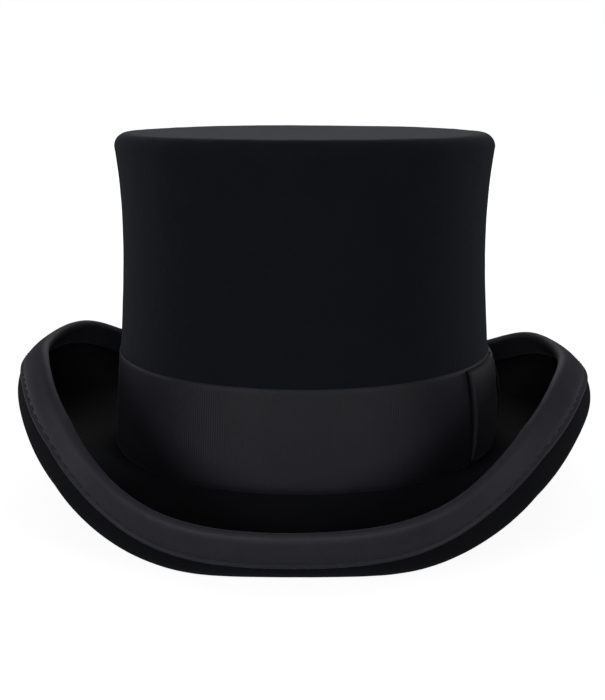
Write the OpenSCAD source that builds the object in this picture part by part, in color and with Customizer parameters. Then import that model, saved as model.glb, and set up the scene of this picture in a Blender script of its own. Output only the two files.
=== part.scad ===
// Black wool-felt top hat with a waisted crown and a rolled, ribbon-bound brim.
// The origin is the middle of the head opening, on the line where crown and brim meet.
// +Z is up, the front of the hat is towards -Y, and the bow is towards +X.

/* [Head oval] */
// Half width of the crown's foot
oval_a = 87; // [82:0.5:92]
// Distance from the middle to the centre of the oval's front arc and of its back arc
end_shift = 28.5; // [25.5:1.5:31.5]

/* [Crown] */
// Height of the crown above the brim
crown_h = 140.5; // [120:0.5:160]
// Inward pull of the crown's wall in its lower third
lower_pull = 1.5; // [0:0.5:6]
// Inward pull of the crown's wall in its upper third, which makes the waist
upper_pull = 9; // [4:0.5:14]
// How much narrower each side of the tip is than the foot
tip_pull = 0.1; // [0:0.1:4]
// Radius of the tip's rounded edge
tip_round = 6; // [4:0.5:8]
// Thickness of the crown's felt
crown_t = 2.5; // [2:0.1:3]

/* [Brim] */
// Thickness of the brim's felt
brim_t = 3; // [2.5:0.1:3.5]
// Straight run from the head line at the front, then 30, 60 and 90 degrees round
brim_run = [34.5, 25, 29.5, 28];
// Slope of that run at the same four places
brim_slope = [-24.5, -32.5, 12, 17];
// Radius of the roll at the same four places
roll_r = [19.5, 16, 15, 17];
// Slope at the end of the roll at the same four places
roll_end = [70, 97, 140, 150];
// Straight lip past the roll at the same four places
lip = [4.5, 8.5, 4, 1.2];
// Missing run on the bow's side and extra run on the other side
run_bias = 1.6; // [0:0.1:3]
// Missing roll radius on the bow's side and extra radius on the other side
radius_bias = 1.2; // [0:0.1:2]
// Extra roll on the bow's side and missing roll on the other side
roll_bias = 3; // [0:0.5:5]
// How many degrees less the run rises on the bow's side
bow_side_drop = 3.4; // [0:0.1:6]
// How much run the bow's side has beyond that
bow_side_run = 3.9; // [0:0.1:6]
// Height of the brim's upstand inside the crown
upstand_h = 10; // [6:0.5:14]
// Thickness of the upstand, pared thin
upstand_t = 1.5; // [1:0.1:2]

/* [Ribbons] */
// Height of the band
band_h = 43; // [30:0.5:50]
// Thickness of the band's ribbon
band_t = 0.5; // [0.4:0.1:1.2]
// Width of the binding on the brim's under side
bind_outer = 10.5; // [8:0.5:16]
// Width of the binding on the brim's upper side
bind_inner = 10.5; // [8:0.5:14]
// Thickness of the binding's ribbon
bind_t = 0.8; // [0.4:0.1:1.2]
// Half angle that the bow's loop covers on the side arc
bow_half = 28.5; // [20:0.5:30]
// Half angle that the bow's knot covers
knot_half = 4.5; // [3:0.5:6]

/* [Inside] */
// Height of the leather sweatband
sweat_h = 44; // [36:1:50]
// Thickness of the leather
sweat_t = 1; // [0.8:0.1:1.4]
// Radius of the reed in the sweatband's lower edge
reed_r = 0.8; // [0.6:0.1:1]
// Radius of the brim's wire
wire_r = 0.7; // [0.5:0.1:0.9]
// Thickness of the lining's satin
satin_t = 0.4; // [0.3:0.1:0.6]

/* [Hidden] */
$fn = 48;

// The oval is four tangent arcs, so that every wall round it is a true surface of revolution.
// The arcs meet on lines that rise 3 in 4, so their centres form two 3-4-5 triangles.
side_shift = end_shift * 4 / 3;
side_r = oval_a + side_shift;
end_r = side_r - end_shift * 5 / 3;
oval_b = end_r + end_shift;
joint = atan(3 / 4);
joint_y = side_r * 3 / 5;
wedge = 50;
wedge_h = 400;

// Shares of the curve for the crown's wall and for the brim
wall_steps = 12;
corner_steps = 6;
rings = 72;
run_steps = 2;
roll_steps = 7;
lip_steps = 2;
brim_steps = run_steps + roll_steps + lip_steps;
// The four brim stations as a share from front to side: the squared cosine of the parameter
stations = [0, 0.25, 0.75, 1];

// Small clearances between neighbours, and the places of hidden pieces
gap = 0.15;
band_foot = 0.4;
thread_r = 0.35;
tip_plate_in = 12;
seam_z = 9;
seam_thread_r = 0.18;
tack_r = 0.15;
tape_t = 0.4;
reed_off = -5.2;
reed_z = -1.6;
upstand_off = -crown_t - 0.05;
tape_off = upstand_off - upstand_t - 0.05;
fin_foot = -0.9;
wire_gap = 0.45;
nose_reach = 0.8;
joiner_gap = 0.12;
joiner_wall = 0.3;
leather_off = tape_off - tape_t - 0.05;
lining_off = -crown_t - 0.6;
lining_foot = 14;
tip_gap = 1;
piping_r = 1;
loop_layer = 0.6;
loop_depth = 2.8;
loop_off = band_t + gap + 0.85;
bow_foot = 2;
bow_top = 41.5;

felt_colour = [0.09, 0.09, 0.10];
ribbon_colour = [0.15, 0.15, 0.17];
leather_colour = [0.20, 0.13, 0.09];
satin_colour = [0.12, 0.12, 0.14];
steel_colour = [0.60, 0.61, 0.63];
reed_colour = [0.85, 0.85, 0.80];
thread_colour = [0.05, 0.05, 0.06];

// Inward offset of the crown's outer face at height z, a cubic curve from foot to tip
function wall(z) =
    let (u = max(0, z / crown_h))
    -3 * (1 - u) ^ 2 * u * lower_pull - 3 * (1 - u) * u ^ 2 * upper_pull - u ^ 3 * tip_pull;

// Direction in which the oval's edge faces at parameter t
function facing(t) = atan2(oval_a * sin(t), oval_b * cos(t));

// Point of the oval at parameter t, moved out by off and up to z
function oval_point(t, off, z) =
    let (f = facing(t), c = cos(f), s = sin(f))
    abs(s) <= sin(joint)
        ? [(side_r + off) * c - sign(c) * side_shift, (side_r + off) * s, z]
        : [(end_r + off) * c, sign(s) * end_shift + (end_r + off) * s, z];

// Value between the four stations for the share s, by the cubic through all four
function between(v, s) =
    v[0] * (s - stations[1]) * (s - stations[2]) * (s - stations[3])
        / ((stations[0] - stations[1]) * (stations[0] - stations[2]) * (stations[0] - stations[3]))
    + v[1] * (s - stations[0]) * (s - stations[2]) * (s - stations[3])
        / ((stations[1] - stations[0]) * (stations[1] - stations[2]) * (stations[1] - stations[3]))
    + v[2] * (s - stations[0]) * (s - stations[1]) * (s - stations[3])
        / ((stations[2] - stations[0]) * (stations[2] - stations[1]) * (stations[2] - stations[3]))
    + v[3] * (s - stations[0]) * (s - stations[1]) * (s - stations[2])
        / ((stations[3] - stations[0]) * (stations[3] - stations[1]) * (stations[3] - stations[2]));

// The brim's section at parameter t: [run, slope, roll radius, roll end, lip]
function section(t) =
    let (s = cos(t) ^ 2, bow_side = max(0, cos(t)) ^ 2)
    [
        between(brim_run, s) - run_bias * cos(t) + bow_side_run * bow_side,
        between(brim_slope, s) - bow_side_drop * bow_side,
        between(roll_r, s) - radius_bias * cos(t),
        between(roll_end, s) + roll_bias * cos(t),
        between(lip, s)
    ];

function roll_length(q) = q[2] * (q[3] - q[1]) * PI / 180;
function brim_length(q) = q[0] + roll_length(q) + q[4];

// Slope of the brim's upper face at distance d from the head line
function slope_at(q, d) = q[1] + (q[3] - q[1]) * min(1, max(0, (d - q[0]) / roll_length(q)));

// Point [out, up] of the upper face at distance d, moved to the under side by depth
function brim_point(q, d, depth) =
    let (
        a = slope_at(q, d),
        run = min(d, q[0]),
        past = max(0, d - q[0] - roll_length(q)),
        out = run * cos(q[1]) + q[2] * (sin(a) - sin(q[1])) + past * cos(q[3]),
        up = run * sin(q[1]) + q[2] * (cos(q[1]) - cos(a)) + past * sin(q[3])
    )
    [out + depth * sin(a), up - depth * cos(a)];

// Distances along the section: even steps in the run, the roll and the lip
function brim_stops(q) = concat(
    [for (i = [0:run_steps - 1]) q[0] * i / run_steps],
    [for (i = [0:roll_steps - 1]) q[0] + roll_length(q) * i / roll_steps],
    [for (i = [0:lip_steps]) q[0] + roll_length(q) + q[4] * i / lip_steps]
);

// Closed tube round the oval, from sections of [out, up] points at even steps of the parameter
module oval_tube(sections) {
    count = len(sections[0]);
    turns = len(sections);
    points = [
        for (i = [0:turns - 1])
            for (p = sections[i]) oval_point(360 * i / turns, p[0], p[1])
    ];
    faces = [
        for (i = [0:turns - 1])
            for (j = [0:count - 1])
                let (
                    a = i * count + j,
                    b = i * count + (j + 1) % count,
                    c = (i + 1) % turns * count + (j + 1) % count,
                    d = (i + 1) % turns * count + j
                )
                for (f = [[a, b, c], [a, c, d]]) f
    ];
    polyhedron(points = points, faces = faces, convexity = 6);
}

// Quarter of a ring: the full ring of one arc, cut out by the wedge that the arc fills
module arc_piece(centre, radius, wedge_points, section_points) {
    intersection() {
        translate(centre)
            rotate_extrude($fn = 120) translate([radius, 0]) polygon(section_points);
        translate([0, 0, -wedge_h / 2]) linear_extrude(wedge_h) polygon(wedge_points);
    }
}

// Ring round the oval whose section is a polygon of [offset, height] points
module oval_ring(section_points) {
    side = [-side_shift, 0];
    end = [0, end_shift];
    for (turn = [0, 180])
        rotate(turn) {
            arc_piece(
                side, side_r, [side, side + wedge * [4, -3], side + wedge * [4, 3]], section_points
            );
            arc_piece(
                end, end_r, [end, end + wedge * [4, 3], end + wedge * [-4, 3]], section_points
            );
        }
}

// Flat oval, moved out by off
module oval_flat(off) {
    for (side = [-1, 1]) translate([0, side * end_shift]) circle(end_r + off, $fn = 120);
    intersection() {
        translate([-side_shift, 0]) circle(side_r + off, $fn = 180);
        translate([side_shift, 0]) circle(side_r + off, $fn = 180);
        square([3 * oval_a, 2 * (joint_y + off * 3 / 5)], center = true);
    }
}

// Part of a ring on the bow's side, from one angle to another
module side_piece(from, to, section_points) {
    translate([-side_shift, 0, 0])
        rotate(from)
            rotate_extrude(angle = to - from, $fn = 120)
                translate([side_r, 0]) polygon(section_points);
}

// Section of a layer that follows the crown's wall between two offsets and two heights
function layer(off_in, off_out, z0, z1, steps = 6) = concat(
    [for (i = [0:steps]) let (z = z0 + (z1 - z0) * i / steps) [wall(z) + off_out, z]],
    [for (i = [steps:-1:0]) let (z = z0 + (z1 - z0) * i / steps) [wall(z) + off_in, z]]
);

// One stitch: a short thread that lies along the oval at parameter t
module stitch(t, off, z, length, radius = thread_r) {
    translate(oval_point(t, off, z))
        rotate([90, 0, facing(t)])
            cylinder(h = length, r = radius, center = true, $fn = 16);
}

// Straight thread between two points
module thread(start, end) {
    d = end - start;
    translate(start)
        rotate([0, atan2(norm([d[0], d[1]]), d[2]), atan2(d[1], d[0])])
            cylinder(h = norm(d), r = thread_r, $fn = 16);
}

module crown_felt() {
    outer = concat(
        [for (i = [0:wall_steps]) let (z = (crown_h - tip_round) * i / wall_steps) [wall(z), z]],
        [
            for (i = [1:corner_steps])
                let (a = 90 * i / corner_steps, z = crown_h - tip_round)
                [wall(z) - tip_round * (1 - cos(a)), z + tip_round * sin(a)]
        ]
    );
    inner_top = crown_h - crown_t;
    inner_round = tip_round - crown_t;
    inner = concat(
        [
            for (i = [corner_steps:-1:1])
                let (a = 90 * i / corner_steps, z = inner_top - inner_round)
                [wall(z) - crown_t - inner_round * (1 - cos(a)), z + inner_round * sin(a)]
        ],
        [
            for (i = [wall_steps:-1:0])
                let (z = (inner_top - inner_round) * i / wall_steps)
                [wall(z) - crown_t, z]
        ]
    );
    color(felt_colour) {
        oval_ring(concat(
            outer, [[-tip_plate_in, crown_h], [-tip_plate_in, inner_top]], inner
        ));
        translate([0, 0, inner_top]) linear_extrude(crown_t) oval_flat(-tip_plate_in);
    }
}

module brim_felt() {
    inner_off = upstand_off - upstand_t;
    lean = wall(upstand_h);
    chamfer = 0.6;
    sections = [
        for (i = [0:rings - 1])
            let (q = section(360 * i / rings), stops = brim_stops(q))
            concat(
                [[lean + upstand_off, upstand_h], [upstand_off, 0]],
                [for (d = stops) brim_point(q, d, 0)],
                [for (k = [brim_steps:-1:0]) brim_point(q, stops[k], brim_t)],
                [
                    [inner_off + chamfer, -brim_t], [inner_off, chamfer - brim_t],
                    [inner_off, 0], [inner_off + lean, upstand_h]
                ]
            )
    ];
    color(felt_colour) oval_tube(sections);
}

// Middle of the wire: in the fold of the binding, just past the felt's edge
function wire_point(q) = brim_point(q, brim_length(q) + wire_r + wire_gap, brim_t / 2);

module brim_wire() {
    sides = 8;
    sections = [
        for (i = [0:rings - 1])
            let (m = wire_point(section(360 * i / rings)))
            [for (k = [0:sides - 1]) m + wire_r * [cos(-360 * k / sides), sin(-360 * k / sides)]]
    ];
    color(steel_colour) oval_tube(sections);
}

// Crimped sleeve round the wire's two ends at the back
module wire_joiner() {
    length = 8;
    bore_r = wire_r + joiner_gap;
    m = wire_point(section(90));
    color(steel_colour)
        translate(oval_point(90, m[0], m[1]))
            rotate([0, 90, 0])
                difference() {
                    cylinder(h = length, r = bore_r + joiner_wall, center = true, $fn = 24);
                    cylinder(h = length + 1, r = bore_r, center = true, $fn = 24);
                }
}

// One face of the binding's section, standing off the felt by off
function binding_line(q, off) =
    let (
        end = brim_length(q),
        nose = brim_t / 2 + off,
        steps = 4,
        tip_a = slope_at(q, end),
        middle = brim_point(q, end + nose_reach, brim_t / 2)
    )
    concat(
        [for (i = [0:steps]) brim_point(q, end - bind_outer * (1 - i / steps), brim_t + off)],
        [
            for (i = [0:steps])
                let (a = tip_a - 90 + 180 * i / steps)
                middle + nose * [cos(a), sin(a)]
        ],
        [for (i = [steps:-1:0]) brim_point(q, end - bind_inner * (1 - i / steps), -off)]
    );

module brim_binding() {
    sections = [
        for (i = [0:rings - 1])
            let (
                q = section(360 * i / rings),
                near = binding_line(q, gap),
                far = binding_line(q, gap + bind_t)
            )
            concat([for (k = [len(near) - 1:-1:0]) near[k]], far)
    ];
    color(ribbon_colour) oval_tube(sections);
}

// Point on the binding's outer face, beside its edge on the under side
function binding_edge(t) =
    let (
        inset = 1.2,
        lift = brim_t + gap + bind_t + thread_r,
        q = section(t),
        p = brim_point(q, brim_length(q) - bind_outer + inset, lift)
    )
    oval_point(t, p[0], p[1]);

// Running stitches along that edge
module binding_stitches() {
    count = 144;
    half = 0.8;
    color(thread_colour)
        for (i = [0:count - 1])
            let (t = 360 * (i + 0.5) / count) thread(binding_edge(t - half), binding_edge(t + half));
}

// Stitches that join the crown's foot to the upstand, lying on the upstand's inner face
module crown_seam_stitches() {
    count = 60;
    off = wall(seam_z) + upstand_off - upstand_t - seam_thread_r - 0.05;
    color(thread_colour)
        for (i = [0:count - 1]) stitch(360 * i / count, off, seam_z, 3, seam_thread_r);
}

module hat_band() {
    color(ribbon_colour) oval_ring(layer(gap, gap + band_t, band_foot, band_h));
}

// Tacks along the band's top edge, lying on the crown's face against the ribbon
module band_tacks() {
    count = 12;
    z = band_h + tack_r + 0.05;
    color(thread_colour)
        for (i = [0:count - 1])
            stitch(360 * (i + 0.5) / count, wall(z) + tack_r + 0.05, z, 1.6, tack_r);
}

// A flat loop of ribbon: two layers joined by a fold at each end, open above and below
module bow_loop() {
    fold = 0.4;
    color(ribbon_colour)
        difference() {
            side_piece(
                -bow_half, bow_half, layer(loop_off, loop_off + loop_depth, bow_foot, bow_top)
            );
            side_piece(
                fold - bow_half, bow_half - fold,
                layer(
                    loop_off + loop_layer, loop_off + loop_depth - loop_layer,
                    bow_foot - 1, bow_top + 1
                )
            );
        }
}

// Ribbon that goes round the middle of the loop
module bow_knot() {
    back = gap + band_t + 0.05;
    front = loop_off + loop_depth + 0.1;
    foot = bow_foot - 0.1;
    top = bow_top + 0.1;
    color(ribbon_colour)
        difference() {
            side_piece(
                -knot_half, knot_half,
                layer(back, front + loop_layer, foot - loop_layer, top + loop_layer)
            );
            side_piece(-knot_half - 1, knot_half + 1, layer(back + 0.7, front, foot, top));
        }
}

// Tacks beside the knot that hold the bow's loop to the band
module bow_tacks() {
    z_inset = 4;
    color(thread_colour)
        for (t = [-12, 12])
            for (z = [bow_foot + z_inset, bow_top - z_inset])
                translate([-side_shift, 0, 0])
                    rotate(t)
                        translate([side_r + wall(z) + gap + band_t + 0.42, 0, z])
                            cylinder(h = 2, r = 0.3, center = true, $fn = 16);
}

module sweatband() {
    color(leather_colour)
        oval_ring(layer(leather_off - sweat_t, leather_off, reed_z + reed_r + tape_t, sweat_h));
}

// Section of a round ring at the reed's place
function round_section(r) =
    [for (k = [0:15]) [reed_off + r * cos(22.5 * k), reed_z + r * sin(22.5 * k)]];

module sweatband_reed() {
    color(reed_colour) oval_ring(round_section(reed_r - 0.02));
}

// Tape wrapped round the reed, with a fin that is sewn between leather and upstand
module reed_tape() {
    color(satin_colour)
        difference() {
            union() {
                oval_ring(round_section(reed_r + 0.35));
                oval_ring(layer(tape_off - tape_t, tape_off, fin_foot, upstand_h - 2, 2));
            }
            oval_ring(round_section(reed_r));
        }
}

// Stitches on the leather's face, just above the reed
module sweatband_stitches() {
    count = 80;
    z = 2;
    color(thread_colour)
        for (i = [0:count - 1])
            stitch(360 * i / count, wall(z) + leather_off - sweat_t - thread_r - 0.05, z, 3.2);
}

// Part of a ring at the back, centred on the back seam
module back_piece(half, section_points) {
    translate([0, end_shift, 0])
        rotate(90 - half)
            rotate_extrude(angle = 2 * half, $fn = 120)
                translate([end_r, 0]) polygon(section_points);
}

// Small flat bow over the leather's seam at the back
module sweatband_bow() {
    back = leather_off - sweat_t - 0.05;
    color(ribbon_colour) {
        back_piece(8, layer(back - 0.8, back, 9, 16, 1));
        back_piece(2, layer(back - 1.6, back - 0.8, 10, 15, 1));
    }
}

module lining_side() {
    top = crown_h - crown_t - tip_gap - piping_r;
    color(satin_colour)
        oval_ring(layer(lining_off - satin_t, lining_off, lining_foot, top, 10));
}

module lining_tip() {
    z = crown_h - crown_t - tip_gap;
    edge = wall(z) + lining_off - satin_t - 2 * piping_r - 0.1;
    color(satin_colour) translate([0, 0, z - satin_t]) linear_extrude(satin_t) oval_flat(edge);
}

// Piped seam between the lining's side and its tip
module lining_piping() {
    z = crown_h - crown_t - tip_gap - piping_r;
    middle = wall(z) + lining_off - satin_t - piping_r - 0.05;
    color(satin_colour)
        oval_ring([for (k = [0:15]) [
            middle + piping_r * cos(22.5 * k), z + piping_r * sin(22.5 * k)
        ]]);
}

// Tacks that hold the lining's lower edge, behind the leather
module lining_tacks() {
    count = 24;
    z = lining_foot - thread_r - 0.1;
    color(thread_colour)
        for (i = [0:count - 1])
            stitch(360 * i / count, wall(z) + lining_off + 0.15, z, 2);
}

crown_felt();
brim_felt();
brim_wire();
wire_joiner();
brim_binding();
binding_stitches();
crown_seam_stitches();
hat_band();
band_tacks();
bow_loop();
bow_knot();
bow_tacks();
sweatband();
sweatband_reed();
reed_tape();
sweatband_stitches();
sweatband_bow();
lining_side();
lining_tip();
lining_piping();
lining_tacks();
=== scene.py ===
import math

import bpy
import numpy as np
from mathutils import Matrix, Vector, noise


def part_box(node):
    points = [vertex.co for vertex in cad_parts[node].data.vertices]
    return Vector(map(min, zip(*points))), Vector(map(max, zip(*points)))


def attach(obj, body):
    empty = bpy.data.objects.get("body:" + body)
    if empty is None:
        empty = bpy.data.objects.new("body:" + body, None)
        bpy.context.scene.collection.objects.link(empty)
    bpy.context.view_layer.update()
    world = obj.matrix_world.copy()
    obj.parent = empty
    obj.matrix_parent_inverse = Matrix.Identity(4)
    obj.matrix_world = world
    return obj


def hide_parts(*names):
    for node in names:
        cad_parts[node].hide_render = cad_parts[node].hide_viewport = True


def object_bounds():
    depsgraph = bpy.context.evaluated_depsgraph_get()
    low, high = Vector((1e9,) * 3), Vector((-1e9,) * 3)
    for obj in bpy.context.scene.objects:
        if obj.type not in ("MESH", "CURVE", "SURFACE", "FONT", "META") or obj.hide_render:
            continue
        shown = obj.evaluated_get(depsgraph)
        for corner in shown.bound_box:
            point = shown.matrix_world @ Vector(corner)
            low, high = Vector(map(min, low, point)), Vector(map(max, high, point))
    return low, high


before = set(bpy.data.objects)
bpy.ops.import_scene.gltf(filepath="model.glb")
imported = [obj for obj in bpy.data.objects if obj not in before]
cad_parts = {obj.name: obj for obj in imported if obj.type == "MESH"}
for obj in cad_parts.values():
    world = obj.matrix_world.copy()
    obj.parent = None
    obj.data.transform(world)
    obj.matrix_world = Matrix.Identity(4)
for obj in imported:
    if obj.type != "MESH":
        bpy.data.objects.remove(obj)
cad_box = [list(corner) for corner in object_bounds()]

# Lengths below are in millimetres unless a name says otherwise; MM turns them into metres.
MM = 0.001
TURN = 2 * math.pi

# ---------------------------------------------------------------- sizes, from the frame
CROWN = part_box("crown_felt")
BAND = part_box("hat_band")
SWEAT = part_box("sweatband")
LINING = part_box("lining_side")
OVAL_A = CROWN[1].x / MM
OVAL_B = CROWN[1].y / MM
CROWN_H = CROWN[1].z / MM
END_SHIFT = 1.5 * (OVAL_B - OVAL_A)
SIDE_SHIFT = END_SHIFT * 4 / 3
SIDE_R = OVAL_A + SIDE_SHIFT
END_R = SIDE_R - END_SHIFT * 5 / 3

# ---------------------------------------------------------------- sizes that the CAD model shares
LOWER_PULL, UPPER_PULL, TIP_PULL = 1.5, 9, 0.1
TIP_ROUND = 6
CROWN_T = 2.5
BRIM_T = 3
STATIONS = (0, 0.25, 0.75, 1)
BRIM_RUN = (34.5, 25, 29.5, 28)
BRIM_SLOPE = (-24.5, -32.5, 12, 17)
ROLL_R = (19.5, 16, 15, 17)
ROLL_END = (70, 97, 140, 150)
LIP = (4.5, 8.5, 4, 1.2)
RUN_BIAS, RADIUS_BIAS, ROLL_BIAS = 1.6, 1.2, 3
BOW_SIDE_DROP, BOW_SIDE_RUN = 3.4, 3.9
UPSTAND_H, UPSTAND_T = 10, 1.5
GAP = 0.15
BAND_T = 0.5
BIND_OUTER, BIND_INNER, BIND_T = 10.5, 10.5, 0.8
NOSE_REACH = 0.8
STITCH_INSET = 2.0
BOW_HALF, KNOT_HALF = 28.5, 4.5
LOOP_OFF, LOOP_DEPTH = 1.5, 2.8
BOW_FOOT, BOW_TOP = 2, 41.5
LEATHER_OFF, LEATHER_T = -4.55, 1.0
LINING_OFF, SATIN_T, TIP_GAP, PIPING_R = -3.1, 0.4, 1, 1

# Grosgrain's ribs
RIB_PITCH = 1.1
RIB_HEIGHT = 0.10
RIB_COLUMNS = 6
BINDING_RIB_COLUMNS = 5


# ---------------------------------------------------------------- the hat's curves
def wall(z):
    """Inward offset of the crown's outer face at height z."""
    u = np.maximum(0, np.asarray(z, float) / CROWN_H)
    return (
        -3 * (1 - u) ** 2 * u * LOWER_PULL - 3 * (1 - u) * u**2 * UPPER_PULL - u**3 * TIP_PULL
    )


def oval(t, off, z):
    """Points of the oval at parameter t, moved out by off and up to z."""
    t, off, z = np.broadcast_arrays(np.asarray(t, float), off, z)
    facing = np.arctan2(OVAL_A * np.sin(t), OVAL_B * np.cos(t))
    c, s = np.cos(facing), np.sin(facing)
    on_side = np.abs(s) <= 0.6
    x = np.where(on_side, (SIDE_R + off) * c - np.sign(c) * SIDE_SHIFT, (END_R + off) * c)
    y = np.where(on_side, (SIDE_R + off) * s, np.sign(s) * END_SHIFT + (END_R + off) * s)
    return np.stack([x, y, z], -1)


def between(values, share):
    """Value at a share from front to side, by the cubic through the four stations."""
    total = 0
    for i, here in enumerate(STATIONS):
        term = values[i]
        for j, other in enumerate(STATIONS):
            if j != i:
                term = term * (share - other) / (here - other)
        total = total + term
    return total


class Section:
    """The brim's section at each parameter t, as arrays."""

    def __init__(self, t):
        side, share = np.cos(t), np.cos(t) ** 2
        bow_side = np.maximum(0, side) ** 2
        self.run = between(BRIM_RUN, share) - RUN_BIAS * side + BOW_SIDE_RUN * bow_side
        self.slope = np.radians(between(BRIM_SLOPE, share) - BOW_SIDE_DROP * bow_side)
        self.radius = between(ROLL_R, share) - RADIUS_BIAS * side
        self.end = np.radians(between(ROLL_END, share) + ROLL_BIAS * side)
        self.roll = self.radius * (self.end - self.slope)
        self.length = self.run + self.roll + between(LIP, share)

    def angle(self, d):
        turned = np.clip((d - self.run) / self.roll, 0, 1)
        return self.slope + (self.end - self.slope) * turned

    def point(self, d, depth):
        """[out, up] at distance d from the head line, moved to the under side by depth."""
        a = self.angle(d)
        run = np.minimum(d, self.run)
        past = np.maximum(0, d - self.run - self.roll)
        rise = self.radius * (np.cos(self.slope) - np.cos(a))
        out = run * np.cos(self.slope) + self.radius * (np.sin(a) - np.sin(self.slope))
        up = run * np.sin(self.slope) + rise
        out = out + past * np.cos(self.end) + depth * np.sin(a)
        up = up + past * np.sin(self.end) - depth * np.cos(a)
        return out, up


# ---------------------------------------------------------------- meshes
def grid_faces(rows, columns, closed_rows, closed_columns):
    """Quads of a grid of points numbered row by row."""
    i = np.arange(rows if closed_rows else rows - 1)
    j = np.arange(columns if closed_columns else columns - 1)
    i, j = np.meshgrid(i, j, indexing="ij")
    next_i, next_j = (i + 1) % rows, (j + 1) % columns
    quads = [i * columns + j, i * columns + next_j, next_i * columns + next_j, next_i * columns + j]
    return np.stack(quads, -1).reshape(-1, 4)


def signed_volume(points, faces):
    """Volume inside the faces, negative where they are wound inwards."""
    first = points[faces[:, 0]]
    total = 0
    for k in range(1, faces.shape[1] - 1):
        total += np.sum(first * np.cross(points[faces[:, k]], points[faces[:, k + 1]])) / 6
    return total


def make_piece(name, points, faces, material, replaced=(), triangles=None):
    """A smooth mesh piece from points in millimetres that rides on the hat."""
    points = np.asarray(points, float).reshape(-1, 3) * MM
    if triangles is None:
        triangles = np.zeros((0, 3), int)
    if signed_volume(points, faces) + signed_volume(points, triangles) < 0:
        faces, triangles = faces[:, ::-1], triangles[:, ::-1]
    corners = [faces.reshape(-1), triangles.reshape(-1)]
    starts = [np.arange(len(faces)) * 4, len(faces) * 4 + np.arange(len(triangles)) * 3]
    corners, starts = np.concatenate(corners), np.concatenate(starts)
    mesh = bpy.data.meshes.new(name)
    mesh.vertices.add(len(points))
    mesh.vertices.foreach_set("co", points.astype(np.float32).ravel())
    mesh.loops.add(len(corners))
    mesh.loops.foreach_set("vertex_index", corners.astype(np.int32))
    mesh.polygons.add(len(starts))
    mesh.polygons.foreach_set("loop_start", starts.astype(np.int32))
    mesh.update(calc_edges=True)
    mesh.validate()
    mesh.polygons.foreach_set("use_smooth", np.ones(len(mesh.polygons), bool))
    mesh.materials.append(material)
    piece = bpy.data.objects.new(name, mesh)
    bpy.context.scene.collection.objects.link(piece)
    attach(piece, "root")
    if replaced:
        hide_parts(*replaced)
    return piece


def unevenness(points, wavelength, seed):
    """Smooth noise from -1 to 1 at each point, the same on every run."""
    shift = Vector((seed * 17.3, seed * 5.1, seed * 11.7))
    flat = np.asarray(points, float).reshape(-1, 3) / wavelength
    values = [noise.noise(Vector(p) + shift) for p in flat]
    return np.array(values).reshape(np.asarray(points).shape[:-1])


def even_parameters(line_at, count):
    """count values of t that stand equally far apart along the closed line line_at(t)."""
    fine = np.linspace(0, TURN, 4001)
    line = line_at(fine)
    steps = np.linalg.norm(np.diff(line, axis=0), axis=1)
    along = np.concatenate([[0], np.cumsum(steps)])
    return np.interp(np.arange(count) / count * along[-1], along, fine), along[-1]


def length_along(line):
    """Distance along an open row of points."""
    steps = np.linalg.norm(np.diff(line, axis=0), axis=1)
    return np.concatenate([[0], np.cumsum(steps)])


def surface_normals(middle, closed):
    """Unit normals of a grid of points."""
    if closed:
        along = np.roll(middle, -1, 0) - np.roll(middle, 1, 0)
    else:
        along = np.gradient(middle, axis=0)
    normal = np.cross(along, np.gradient(middle, axis=1))
    return normal / np.linalg.norm(normal, axis=-1, keepdims=True)


def ribbon_shell(middle, thickness, lift, closed):
    """A closed ribbon round a grid of middle points [along, across]; lift raises both faces."""
    normal = surface_normals(middle, closed)
    front = middle + normal * (thickness / 2 + lift)[..., None]
    back = middle - normal * (thickness / 2 + lift)[..., None]
    rounding = thickness * 0.45
    first = middle[:, :1] - middle[:, 1:2]
    last = middle[:, -1:] - middle[:, -2:-1]
    first = middle[:, :1] + rounding * first / np.linalg.norm(first, axis=-1, keepdims=True)
    last = middle[:, -1:] + rounding * last / np.linalg.norm(last, axis=-1, keepdims=True)
    loop = np.concatenate([front, last, back[:, ::-1], first], axis=1)
    rows, columns = loop.shape[:2]
    faces = [grid_faces(rows, columns, closed, True)]
    if not closed:
        across = middle.shape[1]
        j = np.arange(across - 1)
        for row, flip in ((0, False), (rows - 1, True)):
            a, b = row * columns + j, row * columns + j + 1
            c, d = row * columns + 2 * across - 1 - j, row * columns + 2 * across - j
            cap = np.stack([a, d, c, b], -1)
            faces.append(cap[:, ::-1] if flip else cap)
    return loop.reshape(-1, 3), np.concatenate(faces)


def rib_lift(along, across_share, pitch=RIB_PITCH, height=RIB_HEIGHT):
    """Height of grosgrain's ribs, which fade to about a third of their height near both edges."""
    ribs = 0.5 * height * (1 + np.cos(TURN * along / pitch))[:, None]
    edge = np.minimum(across_share, 1 - across_share)[None, :]
    fade = np.clip(edge / 0.03, 0.35, 1)
    return ribs * fade


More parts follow.
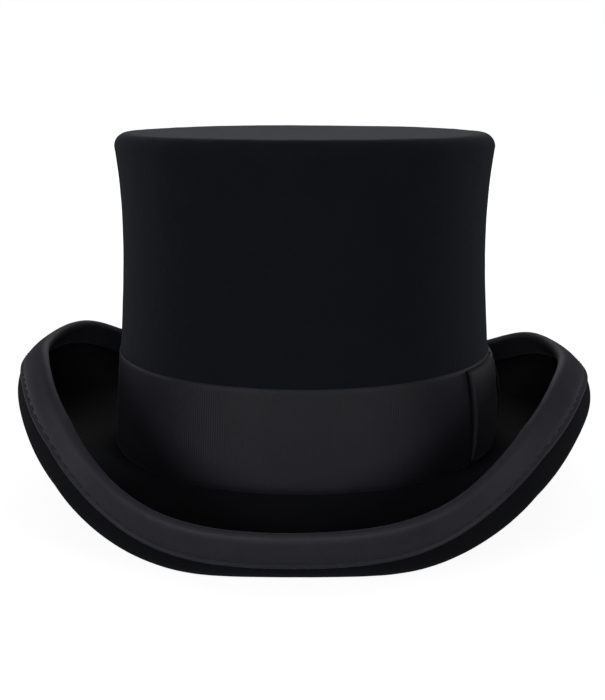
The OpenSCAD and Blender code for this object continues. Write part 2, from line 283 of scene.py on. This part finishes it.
# ---------------------------------------------------------------- materials
class Paint:
    """A node material with a Principled shader and short helpers."""

    def __init__(self, name, roughness, specular=0.5, sheen=0.0, sheen_rough=0.5):
        self.material = bpy.data.materials.new(name)
        self.material.use_nodes = True
        self.nodes = self.material.node_tree.nodes
        self.links = self.material.node_tree.links
        self.shader = self.nodes["Principled BSDF"]
        self.shader.inputs["Roughness"].default_value = roughness
        self.shader.inputs["Specular IOR Level"].default_value = specular
        self.shader.inputs["Sheen Weight"].default_value = sheen
        self.shader.inputs["Sheen Roughness"].default_value = sheen_rough
        self.place = self.nodes.new("ShaderNodeTexCoord").outputs["Object"]

    def stretched(self, scale):
        """Object coordinates with their own scale on each axis."""
        node = self.nodes.new("ShaderNodeMapping")
        node.inputs["Scale"].default_value = scale
        self.links.new(self.place, node.inputs["Vector"])
        return node.outputs["Vector"]

    def noise(self, scale, detail=4.0, rough=0.6, vector=None):
        node = self.nodes.new("ShaderNodeTexNoise")
        node.inputs["Scale"].default_value = scale
        node.inputs["Detail"].default_value = detail
        node.inputs["Roughness"].default_value = rough
        self.links.new(vector or self.place, node.inputs["Vector"])
        return node.outputs["Fac"]

    def cells(self, scale, vector=None):
        node = self.nodes.new("ShaderNodeTexVoronoi")
        node.inputs["Scale"].default_value = scale
        self.links.new(vector or self.place, node.inputs["Vector"])
        return node.outputs["Distance"]

    def ramp(self, value, low, high, start=0.3, end=0.7):
        node = self.nodes.new("ShaderNodeValToRGB")
        node.color_ramp.elements[0].position = start
        node.color_ramp.elements[1].position = end
        node.color_ramp.elements[0].color = (*low, 1)
        node.color_ramp.elements[1].color = (*high, 1)
        self.links.new(value, node.inputs["Fac"])
        return node.outputs["Color"]

    def spread(self, value, low, high):
        node = self.nodes.new("ShaderNodeMapRange")
        node.inputs["To Min"].default_value = low
        node.inputs["To Max"].default_value = high
        self.links.new(value, node.inputs["Value"])
        return node.outputs["Result"]

    def bump(self, height, distance, strength=1.0, under=None):
        node = self.nodes.new("ShaderNodeBump")
        node.inputs["Distance"].default_value = distance
        node.inputs["Strength"].default_value = strength
        self.links.new(height, node.inputs["Height"])
        if under:
            self.links.new(under, node.inputs["Normal"])
        return node.outputs["Normal"]

    def finish(self, colour=None, roughness=None, normal=None):
        for value, socket in ((colour, "Base Color"), (roughness, "Roughness"), (normal, "Normal")):
            if value is not None:
                self.links.new(value, self.shader.inputs[socket])
        return self.material


def felt_paint(name, low, high, sheen):
    """Brushed wool felt: fine matted fibres over a soft mottle."""
    paint = Paint(name, roughness=0.85, specular=0.25, sheen=sheen, sheen_rough=0.45)
    paint.shader.inputs["Sheen Tint"].default_value = (0.75, 0.8, 0.9, 1)
    mottle = paint.noise(60, detail=8, rough=0.7)
    fibres = paint.noise(1400, detail=6, rough=0.75)
    nap = paint.noise(420, detail=4, rough=0.7)
    colour = paint.ramp(mottle, low, high)
    normal = paint.bump(nap, 0.0004, 0.6)
    normal = paint.bump(fibres, 0.00015, 0.8, under=normal)
    return paint.finish(colour, paint.spread(fibres, 0.72, 0.98), normal)


def ribbon_paint(name, low, high, vector_scale):
    """Grosgrain: fine warp threads across the ribs and a faint change of tone."""
    paint = Paint(name, roughness=0.5, specular=0.45, sheen=0.25, sheen_rough=0.35)
    paint.shader.inputs["Sheen Tint"].default_value = (0.85, 0.82, 0.95, 1)
    tone = paint.noise(60, detail=3)
    threads = paint.noise(1, detail=3, rough=0.6, vector=paint.stretched(vector_scale))
    colour = paint.ramp(tone, low, high)
    normal = paint.bump(threads, 0.00008, 0.6)
    return paint.finish(colour, paint.spread(threads, 0.42, 0.62), normal)


def leather_paint():
    paint = Paint("sweat_leather", roughness=0.45, specular=0.5)
    grain = paint.cells(900)
    creases = paint.noise(120, detail=6, rough=0.65)
    colour = paint.ramp(creases, (0.020, 0.013, 0.010), (0.040, 0.026, 0.019))
    normal = paint.bump(grain, 0.00012, 0.6)
    normal = paint.bump(creases, 0.0003, 0.4, under=normal)
    return paint.finish(colour, paint.spread(creases, 0.36, 0.6), normal)


def satin_paint():
    paint = Paint("lining_satin", roughness=0.32, specular=0.6, sheen=0.15, sheen_rough=0.3)
    paint.shader.inputs["Anisotropic"].default_value = 0.5
    tone = paint.noise(30, detail=3)
    weave = paint.noise(1, detail=2, vector=paint.stretched((5000, 5000, 900)))
    colour = paint.ramp(tone, (0.014, 0.014, 0.017), (0.024, 0.024, 0.030))
    return paint.finish(colour, paint.spread(weave, 0.26, 0.42), paint.bump(weave, 0.00004, 0.5))


def thread_paint(name, low, high):
    paint = Paint(name, roughness=0.8, specular=0.2, sheen=0.1)
    twist = paint.noise(2500, detail=2)
    colour = paint.ramp(twist, low, high)
    return paint.finish(colour, paint.spread(twist, 0.5, 0.75), paint.bump(twist, 0.00006, 0.7))


def tape_paint():
    paint = Paint("woven_tape", roughness=0.7, specular=0.35, sheen=0.2)
    weave = paint.cells(1600)
    colour = paint.ramp(weave, (0.010, 0.010, 0.012), (0.026, 0.026, 0.030), 0.1, 0.8)
    return paint.finish(colour, paint.spread(weave, 0.6, 0.8), paint.bump(weave, 0.0001, 0.7))


def reed_paint():
    paint = Paint("reed_plastic", roughness=0.4, specular=0.5)
    streaks = paint.noise(1, detail=3, vector=paint.stretched((300, 300, 3000)))
    colour = paint.ramp(streaks, (0.52, 0.51, 0.46), (0.66, 0.65, 0.60))
    return paint.finish(colour, paint.spread(streaks, 0.32, 0.5), paint.bump(streaks, 0.00004))


def wire_paint():
    paint = Paint("drawn_wire", roughness=0.3)
    paint.shader.inputs["Metallic"].default_value = 1.0
    streaks = paint.noise(900, detail=4)
    colour = paint.ramp(streaks, (0.42, 0.43, 0.45), (0.62, 0.63, 0.65))
    return paint.finish(colour, paint.spread(streaks, 0.25, 0.45), paint.bump(streaks, 0.00003))


CROWN_FELT = felt_paint("crown_wool", (0.0086, 0.0098, 0.0150), (0.0121, 0.0135, 0.0204), 0.18)
# Painted shade: the brim's felt is a darker copy of the crown's felt, set dark for the brim's rolled
# gutters; this darkens its under side too.
BRIM_FELT_PAINTED_SHADE = felt_paint("brim_wool_painted_shade", (0.0070, 0.0074, 0.0105), (0.0100, 0.0105, 0.0147), 0.05)
RIBBON = ribbon_paint("grosgrain", (0.0232, 0.0216, 0.0310), (0.0288, 0.0268, 0.0380), (900, 900, 2600))
# Painted light: the binding is the band's grosgrain made about two and a half times lighter, standing
# in for light bounced up from the white floor.
BINDING_PAINTED_LIGHT = ribbon_paint(
    "bound_grosgrain_painted_light", (0.0590, 0.0560, 0.0740), (0.0730, 0.0700, 0.0910), (900, 900, 2600)
)
LEATHER = leather_paint()
SATIN = satin_paint()
THREAD = thread_paint("sewing_thread", (0.018, 0.017, 0.021), (0.028, 0.027, 0.033))
# Painted light: the binding's stitch thread is a lighter copy of the sewing thread, lifted to the
# lightened binding's tone.
EDGE_THREAD_PAINTED_LIGHT = thread_paint("edge_thread_painted_light", (0.060, 0.058, 0.074), (0.076, 0.073, 0.092))
TAPE = tape_paint()
REED = reed_paint()
WIRE = wire_paint()


# ---------------------------------------------------------------- felt
def make_crown():
    """Blocked felt crown: outer wall, rounded edge and tip, then the inside back to the foot."""
    turns = np.arange(360) / 360 * TURN
    heights = np.linspace(0, CROWN_H - TIP_ROUND, 76)
    corner = np.radians(np.linspace(0, 90, 12))[1:]
    inner_round = TIP_ROUND - CROWN_T
    shoulder = CROWN_H - TIP_ROUND

    def tip_rings(ring, count, sink):
        shares = np.linspace(0, 1, count + 1)[1:-1]
        return [ring * [1 - s, 1 - s, 1] - [0, 0, sink * math.sin(s * math.pi / 2)] for s in shares]

    outer = [oval(turns, wall(z), z) for z in heights]
    for a in corner:
        off = wall(shoulder) - TIP_ROUND * (1 - math.cos(a))
        outer.append(oval(turns, off, shoulder + TIP_ROUND * math.sin(a)))
    outer += tip_rings(outer[-1], 26, 0.8)
    inner_heights = np.linspace(0, shoulder, 40)
    inner = [oval(turns, wall(z) - CROWN_T, z) for z in inner_heights]
    for a in corner[::2]:
        off = wall(shoulder) - CROWN_T - inner_round * (1 - math.cos(a))
        inner.append(oval(turns, off, shoulder + inner_round * math.sin(a)))
    inner += tip_rings(inner[-1], 12, 0.5)
    outer, inner = np.array(outer), np.array(inner)

    normal = -surface_normals(outer.transpose(1, 0, 2), True).transpose(1, 0, 2)
    normal *= np.sign(np.sum(normal * (outer - [0, 0, 60]), -1, keepdims=True))
    rough = 0.22 * unevenness(outer, 38, 1) + 0.06 * unevenness(outer, 7, 2)
    fade = np.clip((outer[..., 2] - 1) / 10, 0, 1)
    outer = outer + normal * (rough * fade)[..., None]
    peak = outer[-1, :, 2].mean()

    rows = np.concatenate([outer[::-1], inner])
    count = len(turns)
    faces = grid_faces(len(rows), count, False, True)
    top = len(rows) * count
    apex = [0, 0, peak], [0, 0, CROWN_H - CROWN_T - 0.5]
    points = np.concatenate([rows.reshape(-1, 3), apex])
    i = np.arange(count)
    last = (len(rows) - 1) * count
    outer_fan = np.stack([np.full(count, top), (i + 1) % count, i], -1)
    inner_fan = np.stack([np.full(count, top + 1), last + i, last + (i + 1) % count], -1)
    triangles = np.concatenate([outer_fan, inner_fan])
    return make_piece(
        "crown_felt_body", points, faces, CROWN_FELT, ["crown_felt"], triangles
    )


def make_brim():
    """Rolled felt brim with its upstand, one closed section carried round the oval."""
    turns = np.arange(480) / 480 * TURN
    section = Section(turns)
    off = -CROWN_T - 0.05
    lean = float(wall(UPSTAND_H))
    shares = np.concatenate([np.linspace(0, 0.35, 12)[:-1], np.linspace(0.35, 1, 52)])
    rim = np.radians(np.linspace(-60, 60, 5))
    rows = [oval(turns, off + lean, UPSTAND_H), oval(turns, off + lean / 2, UPSTAND_H / 2)]
    rows.append(oval(turns, off, 0))
    top = [oval(turns, *section.point(section.length * s, 0)) for s in shares]
    under = [oval(turns, *section.point(section.length * s, BRIM_T)) for s in shares[::-1]]
    nose = []
    for a in rim:
        depth = BRIM_T / 2 * (1 + math.sin(a))
        nose.append(oval(turns, *section.point(section.length + 0.5 * math.cos(a), depth)))
    inner = off - UPSTAND_T
    heel = [
        oval(turns, inner + 0.6, -BRIM_T), oval(turns, inner, 0.6 - BRIM_T),
        oval(turns, inner, 0), oval(turns, inner + lean / 2, UPSTAND_H / 2),
        oval(turns, inner + lean, UPSTAND_H)
    ]
    top, under = np.array(top), np.array(under)
    fade = np.clip(shares * 6, 0, 1) * np.clip((1 - shares) * 6, 0, 1)
    for sheet, reach in ((top, fade), (under, fade[::-1])):
        rough = 0.25 * unevenness(sheet, 34, 3) + 0.05 * unevenness(sheet, 6, 4)
        sheet[..., 2] += rough * reach[:, None]
    rows = np.concatenate([rows, top, nose, under, heel])
    faces = grid_faces(len(rows), len(turns), True, True)
    # Its felt is painted darker than the crown's: painted shade for the rolled gutters.
    return make_piece("brim_felt_body", rows, faces, BRIM_FELT_PAINTED_SHADE, ["brim_felt"])


# ---------------------------------------------------------------- ribbons
def make_band():
    """Grosgrain band, ribs upright, with a faint swell between its edges."""
    middle_off = GAP + BAND_T / 2
    foot, top = BAND[0].z / MM, BAND[1].z / MM
    heights = np.linspace(foot + 0.15, top - 0.3, 22)
    _, girth = even_parameters(lambda t: oval(t, wall(20) + middle_off, 20), 8)
    ribs = round(girth / RIB_PITCH)
    turns, girth = even_parameters(lambda t: oval(t, wall(20) + middle_off, 20), ribs * RIB_COLUMNS)
    t, z = np.meshgrid(turns, heights, indexing="ij")
    middle = oval(t, wall(z) + middle_off, z)
    coarse = unevenness(oval(turns, 0, 0), 26, 5)
    swell = 0.18 * np.sin(np.pi * (z - foot) / (top - foot)) * coarse[:, None]
    ripple = 0.25 * coarse[:, None] * (z > top - 1)
    middle = oval(t, wall(z) + middle_off + swell, z + ripple)
    along = np.arange(len(turns)) / RIB_COLUMNS * RIB_PITCH
    share = (heights - foot) / (top - foot)
    edge = np.minimum(share, 1 - share)
    lift = rib_lift(along, share) - 0.07 * np.exp(-((edge / 0.012) ** 2))
    points, faces = ribbon_shell(middle, BAND_T - 2 * RIB_HEIGHT, lift, True)
    piece = make_piece("hat_band_ribbon", points, faces, RIBBON, ["hat_band"])
    return piece


def binding_path(section, share, off):
    """Points of the binding's face: share 0 is its edge below, 1 its edge above."""
    outer, inner = BIND_OUTER, BIND_INNER
    nose_r = BRIM_T / 2 + off
    nose = math.pi * nose_r
    total = outer + nose + inner
    d = share * total
    if d <= outer:
        return section.point(section.length - outer + d, BRIM_T + off)
    if d >= outer + nose:
        return section.point(section.length - (d - outer - nose), -off)
    a = section.end - math.pi / 2 + (d - outer) / nose_r
    out, up = section.point(section.length + NOSE_REACH, BRIM_T / 2)
    return out + nose_r * np.cos(a), up + nose_r * np.sin(a)


def make_binding():
    """Grosgrain folded over the brim's edge, ribs across it, selvedge raised along both edges."""
    off = GAP + BIND_T / 2
    total = BIND_OUTER + math.pi * (BRIM_T / 2 + off) + BIND_INNER
    nose_start = BIND_OUTER / total
    nose_end = 1 - BIND_INNER / total

    def rim_line(t):
        return oval(t, *Section(t).point(Section(t).length - 4, BRIM_T))

    _, girth = even_parameters(rim_line, 8)
    ribs = round(girth / RIB_PITCH)
    turns, girth = even_parameters(rim_line, ribs * BINDING_RIB_COLUMNS)
    section = Section(turns)
    shares = np.concatenate([
        np.linspace(0.006, 0.09, 10)[:-1], np.linspace(0.09, nose_start, 7)[:-1],
        np.linspace(nose_start, nose_end, 7), np.linspace(nose_end, 0.992, 6)[1:]
    ])
    rows = [oval(turns, *binding_path(section, s, off)) for s in shares]
    middle = np.array(rows).transpose(1, 0, 2)
    lift = rib_lift(np.arange(len(turns)) / BINDING_RIB_COLUMNS * RIB_PITCH, shares)
    bead = np.exp(-(((shares - 0.022) / 0.016) ** 2)) + np.exp(-(((shares - 0.978) / 0.02) ** 2))
    groove = np.exp(-(((shares - 0.066) / 0.014) ** 2))
    lift = lift + 0.3 * bead - 0.18 * groove + 0.10 * unevenness(middle[:, :1], 16, 6)
    points, faces = ribbon_shell(middle, BIND_T - 0.3, lift, True)
    # Its paint is a lighter copy of the band's grosgrain: painted bounce light.
    piece = make_piece("brim_binding_ribbon", points, faces, BINDING_PAINTED_LIGHT, ["brim_binding"])
    return piece


def side_point(angle, off, z):
    """Point on the bow's side of the hat, at an angle of the side arc, in radians."""
    angle, off, z = np.broadcast_arrays(np.asarray(angle, float), off, z)
    x = (SIDE_R + off) * np.cos(angle) - SIDE_SHIFT
    return np.stack([x, (SIDE_R + off) * np.sin(angle), z], -1)


def make_loop():
    """The bow's flat loop: held down by the knot, puffed between, its ends off the band."""
    half = math.radians(BOW_HALF)
    reach = SIDE_R * half
    fold_r = 0.5
    straight = reach - fold_r
    bend = math.pi * fold_r
    length = 4 * straight + 2 * bend
    ribs = round(length / RIB_PITCH)
    s = np.arange(ribs * RIB_COLUMNS) / (ribs * RIB_COLUMNS) * length
    arc, raised = np.zeros(len(s)), np.zeros(len(s))
    outer = s < 2 * straight
    arc[outer], raised[outer] = -straight + s[outer], 1
    back_fold = (s >= 2 * straight) & (s < 2 * straight + bend)
    a = (s[back_fold] - 2 * straight) / fold_r
    arc[back_fold], raised[back_fold] = straight + fold_r * np.sin(a), (1 + np.cos(a)) / 2
    inner = (s >= 2 * straight + bend) & (s < 4 * straight + bend)
    arc[inner] = straight - (s[inner] - 2 * straight - bend)
    front_fold = s >= 4 * straight + bend
    a = (s[front_fold] - 4 * straight - bend) / fold_r
    arc[front_fold], raised[front_fold] = -straight - fold_r * np.sin(a), (1 - np.cos(a)) / 2

    h = np.linspace(0, 1, 25)[None, :]
    share = (np.abs(arc) / reach)[:, None]
    raised = raised[:, None]
    arch = np.sin(np.pi * h) ** 0.8
    pinch = np.exp(-((share / 0.3) ** 2))
    sag, end_swell, end_pull = 0.45, 1.1, 1.8
    lie = LOOP_OFF - sag * (1 - pinch) + end_swell * arch * share**1.5
    middle_puff = np.sin(np.pi * np.minimum(share, 1) ** 0.8) * (1 - 0.8 * pinch)
    puff = 0.7 + 0.6 * share**2 + arch * (0.5 + 0.4 * share**2 + 1.2 * middle_puff)
    crease = 0.2 * pinch * np.cos(h * 5 * math.pi) * raised
    off = lie + raised * puff + crease
    drop = 1.4 * pinch
    z = BOW_FOOT + drop + (BOW_TOP - BOW_FOOT - 2 * drop) * h
    pulled = arc[:, None] * (1 - end_pull / reach * arch * share**2)
    middle = side_point(pulled / SIDE_R, wall(z) + off, z)
    along = s / length * ribs * RIB_PITCH
    lift = rib_lift(along, h[0], height=0.08)
    points, faces = ribbon_shell(middle, 0.4, lift, True)
    piece = make_piece("bow_loop_ribbon", points, faces, RIBBON, ["bow_loop"])
    return piece


def make_knot():
    """The ribbon that wraps the bow's middle: flat behind, bulging before, in soft pleats."""
    half = math.radians(KNOT_HALF)
    back, bulge = GAP + BAND_T + 0.3, LOOP_DEPTH + 0.5
    foot, top = BOW_FOOT + 0.8, BOW_TOP - 0.8
    turns = np.linspace(0, TURN, 721)
    share = (1 - np.cos(turns)) / 2
    out = np.clip(np.sin(turns) * 4, -0.25, 1) * (0.25 + bulge * np.sin(np.pi * share) ** 0.75)
    outline = np.stack([back + np.maximum(out, -0.25), foot + (top - foot) * share], -1)
    along = length_along(outline)
    length = along[-1]
    ribs = round(length / RIB_PITCH)
    s = np.arange(ribs * RIB_COLUMNS) / (ribs * RIB_COLUMNS) * length
    off, z = np.interp(s, along, outline[:, 0]), np.interp(s, along, outline[:, 1])
    rows = np.linspace(-1, 1, 25)
    outward = np.clip((off - back) / bulge, 0, 1)[:, None]
    pleats = (0.3 * np.cos(rows * 2.5 * math.pi) + 0.3 * (1 - rows**2) - 0.2)[None, :] * outward
    narrow = (1 - 0.12 * np.sin(np.pi * np.clip((z - foot) / (top - foot), 0, 1)))[:, None]
    angle = half * rows[None, :] * narrow
    full_z = z[:, None] + 0 * angle
    middle = side_point(angle, wall(full_z) + off[:, None] + pleats, full_z)
    lift = rib_lift(s / length * ribs * RIB_PITCH, (rows + 1) / 2, height=0.08)
    points, faces = ribbon_shell(middle, 0.3, lift, True)
    piece = make_piece("bow_knot_ribbon", points, faces, RIBBON, ["bow_knot"])
    return piece


# ---------------------------------------------------------------- inside
def ring_sheet(off, heights, thickness, turn_count, ripple):
    """A thin sheet round the inside of the crown; ripple(t, z) moves it inwards."""
    turns = np.arange(turn_count) / turn_count * TURN
    t, z = np.meshgrid(turns, heights, indexing="ij")
    middle = oval(t, wall(z) + off - thickness / 2 - ripple(t, z), z)
    return ribbon_shell(middle, thickness * 0.9, np.zeros(middle.shape[:2]), True)


def make_sweatband():
    """Leather sweatband, a little cupped, with a pressed line near each edge."""
    foot, top = SWEAT[0].z / MM + 0.3, SWEAT[1].z / MM - 0.3
    heights = np.concatenate([np.linspace(foot, foot + 6, 16)[:-1], np.linspace(foot + 6, top, 34)])

    def ripple(t, z):
        cup = 0.5 * np.sin(np.pi * (z - foot) / (top - foot))
        line = 0.22 * (np.exp(-((z - top + 3) / 0.5) ** 2) + np.exp(-((z - foot - 4.5) / 0.5) ** 2))
        wave = 0.25 * np.sin(5 * t + 0.6) * ((z - foot) / (top - foot)) ** 2
        return cup - line + wave + 0.25

    points, faces = ring_sheet(LEATHER_OFF, heights, LEATHER_T, 360, ripple)
    piece = make_piece("sweatband_leather", points, faces, LEATHER, ["sweatband"])
    girth = even_parameters(lambda t: oval(t, LEATHER_OFF, 10), 8)[1]
    return piece


def make_lining():
    """Satin side with soft gathers at its top, and the oval tip with puckers at its edge."""
    foot, top = LINING[0].z / MM + 0.2, LINING[1].z / MM - 0.4
    heights = np.linspace(foot, top, 60)

    def ripple(t, z):
        rise = (z - foot) / (top - foot)
        gathers = 0.5 + 0.5 * np.sin(96 * t + 2.2 * np.sin(7 * t) + 1.5 * np.sin(3 * t))
        folds = 0.5 + 0.5 * np.sin(22 * t + 1.3 * np.sin(4 * t))
        return 0.9 * gathers * rise**3 + 0.7 * folds * np.sin(np.pi * rise) + 0.05

    points, faces = ring_sheet(LINING_OFF, heights, SATIN_T, 960, ripple)
    side = make_piece("lining_side_satin", points, faces, SATIN, ["lining_side"])
    girth = even_parameters(lambda t: oval(t, wall(70) + LINING_OFF, 70), 8)[1]

    z_tip = CROWN_H - CROWN_T - TIP_GAP - SATIN_T / 2
    edge_off = float(wall(z_tip)) + LINING_OFF - SATIN_T - 2 * PIPING_R - 0.2
    turns = np.arange(720) / 720 * TURN
    edge = oval(turns, edge_off, 0)[:, None, :]
    shares = np.linspace(1, 0, 41)[:-1]
    rows = edge * shares[None, :, None]
    pucker = 0.5 + 0.5 * np.sin(72 * turns + 2 * np.sin(5 * turns))
    rows[..., 2] = z_tip - 0.7 * pucker[:, None] * shares[None, :] ** 8
    rows[..., 2] -= 1.4 * np.cos(shares[None, :] * math.pi / 2)
    thickness = SATIN_T * 0.9
    lower, upper = rows - [0, 0, thickness / 2], rows + [0, 0, thickness / 2]
    loop = np.concatenate([lower[:, ::-1], upper], axis=1)
    faces = grid_faces(*loop.shape[:2], True, False)
    centre = np.array([[0, 0, z_tip - 1.4 - thickness / 2], [0, 0, z_tip - 1.4 + thickness / 2]])
    points = np.concatenate([loop.reshape(-1, 3), centre])
    count, columns = loop.shape[:2]
    i, n = np.arange(count), (np.arange(count) + 1) % count
    base = count * columns
    below = np.stack([np.full(count, base), i * columns, n * columns], -1)
    last = columns - 1
    above = np.stack([np.full(count, base + 1), n * columns + last, i * columns + last], -1)
    tip = make_piece(
        "lining_tip_satin", points, faces, SATIN, ["lining_tip"],
        np.concatenate([below, above])
    )
    return side, tip


def stitch_points(path, radius, bury):
    """One stitch along three points: a round thread, high in its middle, ends in the cloth."""
    start, middle, end, outward = path
    shares = np.linspace(0, 1, 9)
    sides = 8
    along = (end - start) / np.linalg.norm(end - start)
    across = np.cross(along, outward)
    across /= np.linalg.norm(across)
    out = np.cross(across, along)
    rings = []
    for s in shares:
        centre = (1 - s) ** 2 * start + 2 * s * (1 - s) * middle + s**2 * end
        centre = centre - out * bury * (2 * s - 1) ** 4
        size = radius * (1 - 0.75 * abs(2 * s - 1) ** 6)
        a = np.arange(sides) / sides * TURN
        rings.append(centre + size * (np.cos(a)[:, None] * across + np.sin(a)[:, None] * out))
    return np.array(rings)


def make_stitches(name, node, material, place, outward, count, half, radius, offset=0.5):
    """A row of stitches round the hat; place(t) is a point on the cloth's face."""
    points, faces, triangles = [], [], []
    for i in range(count):
        t = (i + offset) / count * TURN
        start, end = place(t - half), place(t + half)
        middle = place(t) * 2 - (start + end) / 2
        rings = stitch_points((start, middle, end, outward(t)), radius, 1.4 * radius)
        base = sum(len(p) for p in points)
        rows, sides = rings.shape[:2]
        points.append(rings.reshape(-1, 3))
        faces.append(base + grid_faces(rows, sides, False, True))
        j = np.arange(1, sides - 1)
        triangles.append(base + np.stack([0 * j, j, j + 1], -1))
        last = base + (rows - 1) * sides
        triangles.append(last + np.stack([0 * j, j + 1, j], -1))
    return make_piece(
        name, np.concatenate(points), np.concatenate(faces), material, [node],
        np.concatenate(triangles)
    )


def binding_stitch_place(t):
    t = np.asarray(t, float)
    section = Section(t)
    depth = BRIM_T + GAP + BIND_T + 0.05
    return oval(t, *section.point(section.length - BIND_OUTER + STITCH_INSET, depth))


def binding_stitch_outward(t):
    section = Section(np.asarray(t, float))
    low = oval(t, *section.point(section.length - BIND_OUTER + STITCH_INSET, 0))
    return binding_stitch_place(t) - low


def sweat_stitch_place(t):
    z = 2.0
    return oval(t, wall(z) + LEATHER_OFF - LEATHER_T - 0.45, z)


def sweat_stitch_outward(t):
    return oval(t, -1, 0) - oval(t, 0, 0)


# ---------------------------------------------------------------- stage, light and camera
def make_stage():
    """White sweep under the hat: lit from within, with a painted shadow that dims it near the hat and
    leaves it brighter away from the hat, no bounce upwards.
    """
    floor_gap = 0.0001
    lowest = cad_box[0][2] - floor_gap
    half = 12.0
    mesh = bpy.data.meshes.new("floor")
    corners = [(x * half, y * half, lowest) for x, y in ((-1, -1), (1, -1), (1, 1), (-1, 1))]
    mesh.from_pydata(corners, [], [(0, 1, 2, 3)])
    floor = bpy.data.objects.new("floor", mesh)
    bpy.context.scene.collection.objects.link(floor)
    material = bpy.data.materials.new("pale_floor")
    material.use_nodes = True
    shader = material.node_tree.nodes["Principled BSDF"]
    shader.inputs["Base Color"].default_value = (0.9, 0.9, 0.9, 1)
    shader.inputs["Roughness"].default_value = 0.9
    shader.inputs["Specular IOR Level"].default_value = 0.0
    shader.inputs["Emission Color"].default_value = (1, 1, 1, 1)
    nodes, links = material.node_tree.nodes, material.node_tree.links
    place = nodes.new("ShaderNodeTexCoord")
    reach = nodes.new("ShaderNodeVectorMath")
    reach.operation = "LENGTH"
    # Painted shadow: the floor's glow is 0.9 within 0.1 m of the hat and rises to 1.0 at 0.6 m.
    floor_glow_painted_shadow = nodes.new("ShaderNodeMapRange")
    floor_glow_painted_shadow.inputs["From Min"].default_value = 0.1
    floor_glow_painted_shadow.inputs["From Max"].default_value = 0.6
    floor_glow_painted_shadow.inputs["To Min"].default_value = 0.9
    floor_glow_painted_shadow.inputs["To Max"].default_value = 1.0
    links.new(place.outputs["Object"], reach.inputs[0])
    links.new(reach.outputs["Value"], floor_glow_painted_shadow.inputs["Value"])
    links.new(floor_glow_painted_shadow.outputs["Result"], shader.inputs["Emission Strength"])
    mesh.materials.append(material)
    floor.visible_diffuse = False
    floor.visible_glossy = False


def add_light(name, place, aim, size, power):
    """A square soft box at place that faces aim; places are in metres."""
    light = bpy.data.lights.new(name, "AREA")
    light.shape = "SQUARE"
    light.size = size
    light.energy = power
    lamp = bpy.data.objects.new(name, light)
    lamp.location = place
    lamp.rotation_euler = (Vector(aim) - Vector(place)).to_track_quat("-Z", "Y").to_euler()
    lamp.visible_camera = False
    bpy.context.scene.collection.objects.link(lamp)


def make_light():
    """Three soft boxes before the hat, weaker ones above and behind it, and a white surround."""
    middle = (0, 0, 0.07)
    add_light("top_box", (0, 0, 1.6), middle, 1.5, 0.7)
    add_light("front_box", (0, -2.2, 0.5), middle, 1.2, 4.2)
    add_light("front_left_box", (-1.5, -1.6, 0.35), middle, 0.8, 6.8)
    add_light("front_right_box", (1.5, -1.6, 0.35), middle, 0.8, 5.6)
    add_light("back_box", (0, 2.4, 0.8), middle, 1.4, 5.2)
    add_light("back_left_box", (-1.8, 1.0, 0.2), middle, 0.8, 2.6)
    add_light("back_right_box", (1.8, 1.0, 0.2), middle, 0.8, 2.1)
    world = bpy.data.worlds.new("studio")
    bpy.context.scene.world = world
    world.use_nodes = True
    nodes, links = world.node_tree.nodes, world.node_tree.links
    soft = nodes["Background"]
    soft.inputs["Color"].default_value = (1, 1, 1, 1)
    soft.inputs["Strength"].default_value = 0.03
    white = nodes.new("ShaderNodeBackground")
    white.inputs["Color"].default_value = (1, 1, 1, 1)
    path = nodes.new("ShaderNodeLightPath")
    mix = nodes.new("ShaderNodeMixShader")
    links.new(path.outputs["Is Camera Ray"], mix.inputs["Fac"])
    links.new(soft.outputs["Background"], mix.inputs[1])
    links.new(white.outputs["Background"], mix.inputs[2])
    links.new(mix.outputs["Shader"], nodes["World Output"].inputs["Surface"])


def make_camera():
    """Camera a little above the crown's tip, in front of the hat."""
    place = Vector((0.0168, -0.6603, 0.1619))
    aim = Vector((-0.0006, -0.0102, 0.0413))
    roll = math.radians(0.11)
    data = bpy.data.cameras.new("camera")
    data.sensor_fit = "HORIZONTAL"
    data.sensor_width = 36
    data.lens = 85.5
    data.clip_start = 0.01
    camera = bpy.data.objects.new("camera", data)
    turn = (aim - place).to_track_quat("-Z", "Y").to_matrix().to_4x4()
    camera.matrix_world = Matrix.Translation(place) @ turn @ Matrix.Rotation(roll, 4, "Z")
    bpy.context.scene.collection.objects.link(camera)
    bpy.context.scene.camera = camera


def paint_frame_nodes():
    """Materials of the CAD nodes that stay as they are."""
    paints = {
        "brim_wire": WIRE, "wire_joiner": WIRE, "crown_seam_stitches": THREAD, "band_tacks": THREAD,
        "bow_tacks": THREAD, "sweatband_reed": REED, "reed_tape": TAPE, "sweatband_bow": RIBBON,
        "lining_piping": SATIN, "lining_tacks": THREAD
    }
    for node, material in paints.items():
        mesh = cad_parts[node].data
        mesh.materials.clear()
        mesh.materials.append(material)


make_camera()
make_light()
make_stage()
paint_frame_nodes()
make_crown()
make_brim()
make_band()
make_binding()
make_loop()
make_knot()
make_sweatband()
make_lining()
make_stitches(
    "binding_stitch_row", "binding_stitches", EDGE_THREAD_PAINTED_LIGHT, binding_stitch_place, binding_stitch_outward,
    144, math.radians(0.8), 0.2
)
make_stitches(
    "sweatband_stitch_row", "sweatband_stitches", THREAD, sweat_stitch_place, sweat_stitch_outward,
    80, math.radians(0.9), 0.3, offset=0
)

bpy.context.scene.view_settings.view_transform = "Standard"
